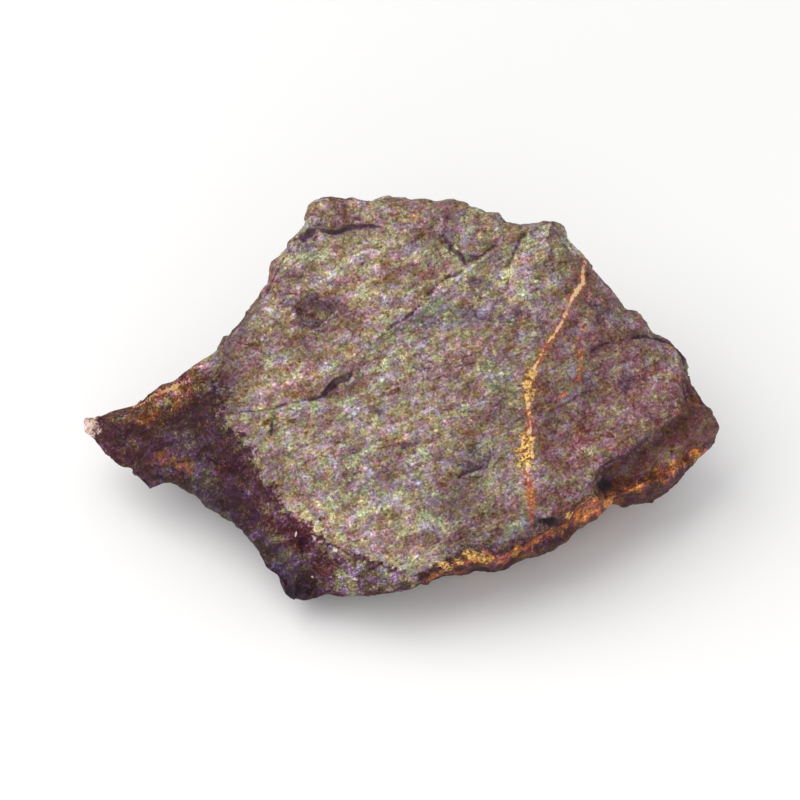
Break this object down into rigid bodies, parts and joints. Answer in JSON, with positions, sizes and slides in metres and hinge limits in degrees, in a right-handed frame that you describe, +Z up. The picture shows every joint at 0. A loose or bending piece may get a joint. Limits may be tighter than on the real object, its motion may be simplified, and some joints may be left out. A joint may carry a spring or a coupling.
{
  "type": "braunite hand specimen",
  "caption": "Broken wedge-shaped lump of dark manganese ore with a flat grainy face, a pointed horn on one side and rusty seams; rests on a flat foot.",
  "frame": {"origin": "on the resting plane, under the middle of the bounding box", "axes": "+Z up from the resting plane, +X to the right of the broad broken face, +Y towards the back; the broken face looks towards -Y and up"},
  "size_m": [0.0912, 0.0528, 0.0404],
  "materials": {
    "ore": "rough"
  },
  "bodies": {
    "root": {"braunite_lump": "ore"}
  },
  "joints": []
}
